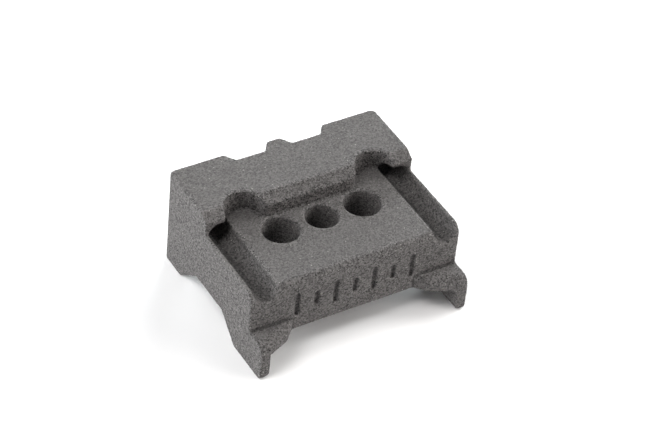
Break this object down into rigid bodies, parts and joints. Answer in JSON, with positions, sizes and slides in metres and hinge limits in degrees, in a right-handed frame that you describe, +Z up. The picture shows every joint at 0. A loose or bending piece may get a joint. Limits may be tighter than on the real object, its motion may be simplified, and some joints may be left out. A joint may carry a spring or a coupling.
{
  "type": "mounting block",
  "caption": "Low sintered mounting block: a drilled deck, a raised rear plate with round reliefs, rod grooves along both sides, and thin feet that lift a flat underside.",
  "frame": {"origin": "on the ground, in the middle of the block's width and depth", "axes": "+Z up, +X to the block's right side, -Y to the front where the marks and the shelves are"},
  "size_m": [0.05, 0.042, 0.0237],
  "materials": {
    "sintered_nylon": "grainy, unpolished powder-bed surface"
  },
  "bodies": {
    "root": {"mounting_block": "sintered_nylon"}
  },
  "joints": []
}
